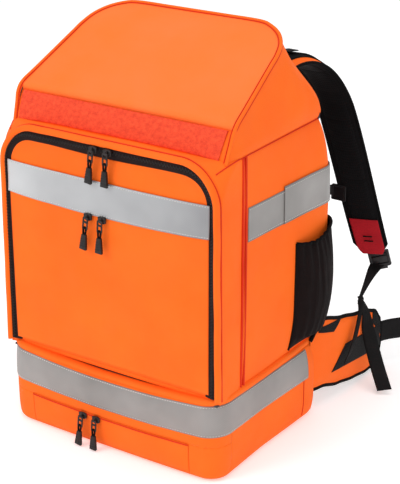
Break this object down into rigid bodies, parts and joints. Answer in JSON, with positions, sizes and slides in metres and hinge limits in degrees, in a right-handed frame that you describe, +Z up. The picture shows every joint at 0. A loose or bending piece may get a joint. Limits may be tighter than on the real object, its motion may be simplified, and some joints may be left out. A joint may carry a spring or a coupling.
{
  "type": "trauma backpack",
  "caption": "Large framed medical backpack with a front door, a zipped base compartment, reflective bands, mesh side pockets, padded shoulder straps and a hip belt.",
  "frame": {"origin": "centre of the underside of the base compartment", "axes": "+X across the pack to the viewer's right when facing the front, -Y towards the front door, +Y towards the wearer, +Z up"},
  "size_m": [0.566, 0.6499, 0.6582],
  "materials": {
    "orange_fabric": "fluorescent woven polyester",
    "orange_lid": "coated fluorescent fabric",
    "reflective": "glass-bead reflective tape",
    "loop": "loop pile",
    "red_tab": "woven webbing",
    "black_fabric": "woven nylon",
    "black_mesh": "elastic mesh",
    "webbing": "woven webbing",
    "board": "polyethylene sheet",
    "buckle": "moulded acetal",
    "stay": "plain",
    "slider": "black lacquered zinc",
    "grip": "moulded grip"
  },
  "bodies": {
    "pack": {"base_floor": "orange_fabric", "base_board": "board", "base_wall": "orange_fabric", "base_front": "orange_fabric", "base_band": "reflective", "base_lip": "orange_fabric", "divider_shelf": "black_fabric", "side_left": "orange_fabric", "side_right": "orange_fabric", "back_wall": "black_fabric", "frame_sheet": "board", "frame_stays": "stay", "front_gusset": "orange_fabric", "zip_tape": "black_fabric", "hood": "orange_fabric", "lid": "orange_lid", "lid_piping": "orange_fabric", "loop_band": "loop", "side_bands": "reflective", "mesh_pocket_left": "black_mesh", "mesh_pocket_right": "black_mesh", "back_pads": "black_fabric", "strap_web_left": "webbing", "strap_web_right": "webbing", "lifter_left": "webbing", "lifter_right": "webbing", "lifter_buckles": "buckle"},
    "grab_handle": {"grab_handle": "webbing"},
    "base_flap": {"base_flap": "orange_fabric"},
    "front_door": {"door_panel": "orange_fabric", "door_pocket": "orange_fabric", "door_band": "reflective"},
    "front_slider_left": {"front_slider_left": "slider"},
    "front_pull_left": {"front_pull_left": "grip"},
    "front_slider_right": {"front_slider_right": "slider"},
    "front_pull_right": {"front_pull_right": "grip"},
    "pocket_slider_left": {"pocket_slider_left": "slider"},
    "pocket_pull_left": {"pocket_pull_left": "grip"},
    "pocket_slider_right": {"pocket_slider_right": "slider"},
    "pocket_pull_right": {"pocket_pull_right": "grip"},
    "base_slider_left": {"base_slider_left": "slider"},
    "base_pull_left": {"base_pull_left": "grip"},
    "base_slider_right": {"base_slider_right": "slider"},
    "base_pull_right": {"base_pull_right": "grip"},
    "shoulder_strap_left": {"strap_left": "black_fabric", "tab_left": "red_tab", "ladder_left": "buckle"},
    "sternum_left": {"sternum_web_left": "webbing", "sternum_socket": "buckle"},
    "hip_fin_left": {"fin_left": "orange_fabric"},
    "hip_belt_left": {"belt_left": "webbing", "belt_socket": "buckle"},
    "shoulder_strap_right": {"strap_right": "black_fabric", "tab_right": "red_tab", "ladder_right": "buckle"},
    "sternum_right": {"sternum_web_right": "webbing", "sternum_plug": "buckle"},
    "hip_fin_right": {"fin_right": "orange_fabric"},
    "hip_belt_right": {"belt_right": "webbing", "belt_plug": "buckle"}
  },
  "joints": [
    {"name": "base_flap_hinge", "type": "hinge", "parent": "pack", "child": "base_flap", "pos_m": [0, -0.1455, 0.009], "axis": [1, 0, 0], "range_deg": [0, 60]},
    {"name": "front_door_hinge", "type": "hinge", "parent": "pack", "child": "front_door", "pos_m": [0, -0.1445, 0.146], "axis": [1, 0, 0], "range_deg": [0, 100]},
    {"name": "grab_handle_swing", "type": "hinge", "parent": "pack", "child": "grab_handle", "pos_m": [0, 0.134, 0.6], "axis": [1, 0, 0], "range_deg": [-45, 45]},
    {"name": "front_slider_left_travel", "type": "slide", "parent": "front_door", "child": "front_slider_left", "axis": [1, 0, 0], "range_m": [-0.12, 0.009]},
    {"name": "front_pull_left_lift", "type": "hinge", "parent": "front_slider_left", "child": "front_pull_left", "pos_m": [-0.016, -0.1568, 0.5], "axis": [1, 0, 0], "range_deg": [-100, 0]},
    {"name": "front_slider_right_travel", "type": "slide", "parent": "front_door", "child": "front_slider_right", "axis": [1, 0, 0], "range_m": [-0.009, 0.12]},
    {"name": "front_pull_right_lift", "type": "hinge", "parent": "front_slider_right", "child": "front_pull_right", "pos_m": [0.01, -0.1568, 0.5], "axis": [1, 0, 0], "range_deg": [-100, 0]},
    {"name": "pocket_slider_left_travel", "type": "slide", "parent": "front_door", "child": "pocket_slider_left", "axis": [1, 0, 0], "range_m": [-0.14, 0.009]},
    {"name": "pocket_pull_left_lift", "type": "hinge", "parent": "pocket_slider_left", "child": "pocket_pull_left", "pos_m": [-0.026, -0.1584, 0.394], "axis": [1, 0, 0], "range_deg": [-100, 0]},
    {"name": "pocket_slider_right_travel", "type": "slide", "parent": "front_door", "child": "pocket_slider_right", "axis": [1, 0, 0], "range_m": [-0.009, 0.14]},
    {"name": "pocket_pull_right_lift", "type": "hinge", "parent": "pocket_slider_right", "child": "pocket_pull_right", "pos_m": [0, -0.1584, 0.394], "axis": [1, 0, 0], "range_deg": [-100, 0]},
    {"name": "base_slider_left_travel", "type": "slide", "parent": "base_flap", "child": "base_slider_left", "axis": [1, 0, 0], "range_m": [-0.1, 0.009]},
    {"name": "base_pull_left_lift", "type": "hinge", "parent": "base_slider_left", "child": "base_pull_left", "pos_m": [-0.045, -0.1559, 0.054], "axis": [1, 0, 0], "range_deg": [-100, 0]},
    {"name": "base_slider_right_travel", "type": "slide", "parent": "base_flap", "child": "base_slider_right", "axis": [1, 0, 0], "range_m": [-0.009, 0.1]},
    {"name": "base_pull_right_lift", "type": "hinge", "parent": "base_slider_right", "child": "base_pull_right", "pos_m": [-0.019, -0.1559, 0.054], "axis": [1, 0, 0], "range_deg": [-100, 0]},
    {"name": "shoulder_strap_left_lift", "type": "hinge", "parent": "pack", "child": "shoulder_strap_left", "pos_m": [-0.078, 0.156, 0.545], "axis": [1, 0, 0], "range_deg": [-5, 40], "deforming": ["strap_web_left", "lifter_left"]},
    {"name": "sternum_left_swing", "type": "hinge", "parent": "shoulder_strap_left", "child": "sternum_left", "pos_m": [-0.138, 0.32, 0.318], "axis": [0, 1, 0], "range_deg": [-60, 0]},
    {"name": "hip_fin_left_fold", "type": "hinge", "parent": "pack", "child": "hip_fin_left", "pos_m": [-0.208, 0.154, 0.06], "axis": [0, 0, 1], "range_deg": [-30, 0]},
    {"name": "hip_belt_left_swing", "type": "hinge", "parent": "hip_fin_left", "child": "hip_belt_left", "pos_m": [-0.223, 0.354, 0.064], "axis": [0, 0, 1], "range_deg": [-15, 45]},
    {"name": "shoulder_strap_right_lift", "type": "hinge", "parent": "pack", "child": "shoulder_strap_right", "pos_m": [0.078, 0.156, 0.545], "axis": [1, 0, 0], "range_deg": [-5, 40], "deforming": ["strap_web_right", "lifter_right"]},
    {"name": "sternum_right_swing", "type": "hinge", "parent": "shoulder_strap_right", "child": "sternum_right", "pos_m": [0.138, 0.32, 0.318], "axis": [0, 1, 0], "range_deg": [0, 60]},
    {"name": "hip_fin_right_fold", "type": "hinge", "parent": "pack", "child": "hip_fin_right", "pos_m": [0.208, 0.154, 0.06], "axis": [0, 0, 1], "range_deg": [0, 30]},
    {"name": "hip_belt_right_swing", "type": "hinge", "parent": "hip_fin_right", "child": "hip_belt_right", "pos_m": [0.223, 0.354, 0.064], "axis": [0, 0, 1], "range_deg": [-45, 15]}
  ]
}
